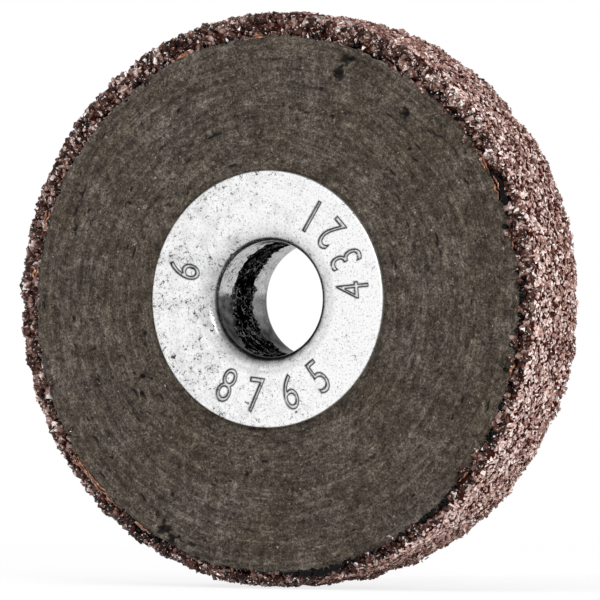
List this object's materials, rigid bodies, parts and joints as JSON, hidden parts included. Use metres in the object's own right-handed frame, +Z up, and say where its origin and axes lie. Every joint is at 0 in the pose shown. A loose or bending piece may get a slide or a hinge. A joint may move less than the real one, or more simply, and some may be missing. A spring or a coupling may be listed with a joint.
{
  "type": "felt polishing wheel",
  "caption": "Small felt polishing wheel: a felt disc with a grain-coated rim, and a pressed flange bonded on each face with a drawn neck that lines the arbor bore.",
  "frame": {"origin": "centre of the wheel, on the bore axis halfway between the two flange faces", "axes": "+Y along the bore axis towards the rear face, +Z up with the wheel standing on its rim, front face towards -Y"},
  "size_m": [0.05, 0.0112, 0.05],
  "materials": {
    "felt": "hard pressed wool felt, dark olive grey, matt",
    "abrasive": "coarse brown fused alumina grain in glue",
    "black_glue": "hardened black glue, glossy",
    "amber_glue": "dried hide glue, amber, glossy",
    "flange_metal": "drawn sheet, bright with fine dark pits"
  },
  "bodies": {
    "root": {"felt_body": "felt", "rim_glue_coat": "black_glue", "abrasive_coat": "abrasive", "front_flange": "flange_metal", "rear_flange": "flange_metal", "front_flange_glue": "black_glue", "rear_flange_glue": "black_glue", "bore_glue_band": "black_glue", "front_glue_runs": "amber_glue", "rear_glue_runs": "amber_glue"}
  },
  "joints": []
}
